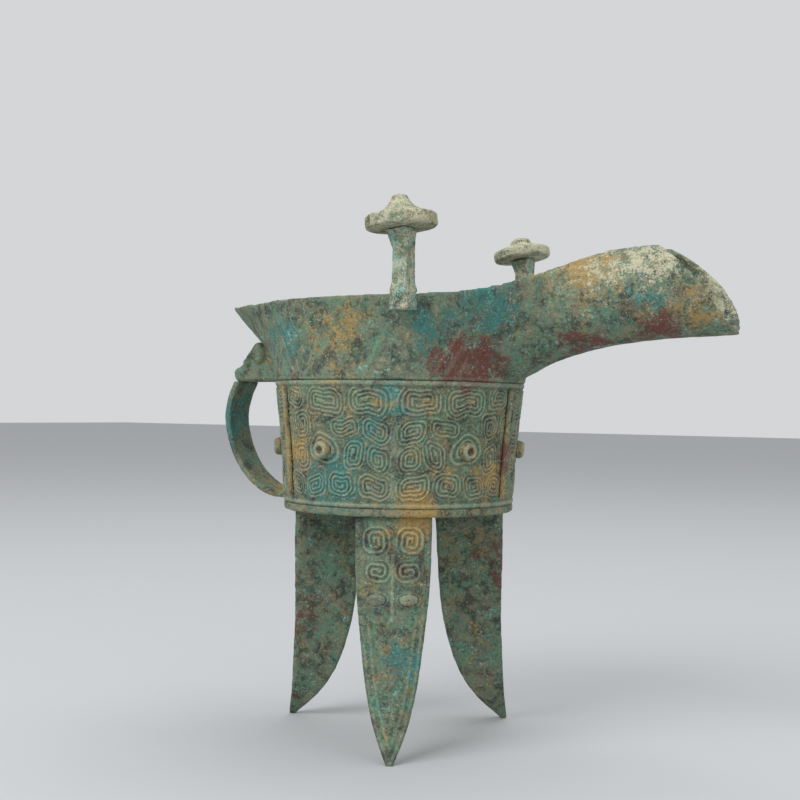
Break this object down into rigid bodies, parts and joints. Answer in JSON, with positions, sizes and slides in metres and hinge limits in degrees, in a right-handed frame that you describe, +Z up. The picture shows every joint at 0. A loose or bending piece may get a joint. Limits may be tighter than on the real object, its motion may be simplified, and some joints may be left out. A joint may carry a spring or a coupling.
{
  "type": "bronze ritual wine vessel",
  "caption": "Ritual bronze pouring vessel: deep cup on blade legs, long tubular spout, pointed tail, capped rim posts and a strap handle with an animal head.",
  "frame": {"origin": "on the floor, under the middle of the overall box", "axes": "+X toward the spout, +Y to the left seen from behind the handle, +Z up"},
  "size_m": [0.2116, 0.1149, 0.1959],
  "materials": {
    "patina_teal": "matte",
    "patina_green": "matte",
    "patina_shadow": "matte",
    "patina_olive": "matte",
    "patina_dark": "matte",
    "patina_ochre": "matte",
    "patina_pale": "matte",
    "patina_cream": "matte",
    "patina_relief": "matte"
  },
  "bodies": {
    "root": {"mouth_casting": "patina_teal", "cup_wall": "patina_green", "base_plate": "patina_shadow", "leg_near": "patina_olive", "leg_far": "patina_olive", "leg_rear": "patina_olive", "handle_strap": "patina_dark", "handle_head": "patina_ochre", "post_near": "patina_pale", "post_far": "patina_pale", "cap_near": "patina_cream", "cap_far": "patina_cream", "eye_near_left": "patina_relief", "eye_near_right": "patina_relief", "eye_far_left": "patina_relief", "eye_far_right": "patina_relief", "eye_rear_left": "patina_relief", "eye_rear_right": "patina_relief", "ridge_front": "patina_relief", "ridge_near": "patina_relief", "ridge_far": "patina_relief"}
  },
  "joints": []
}
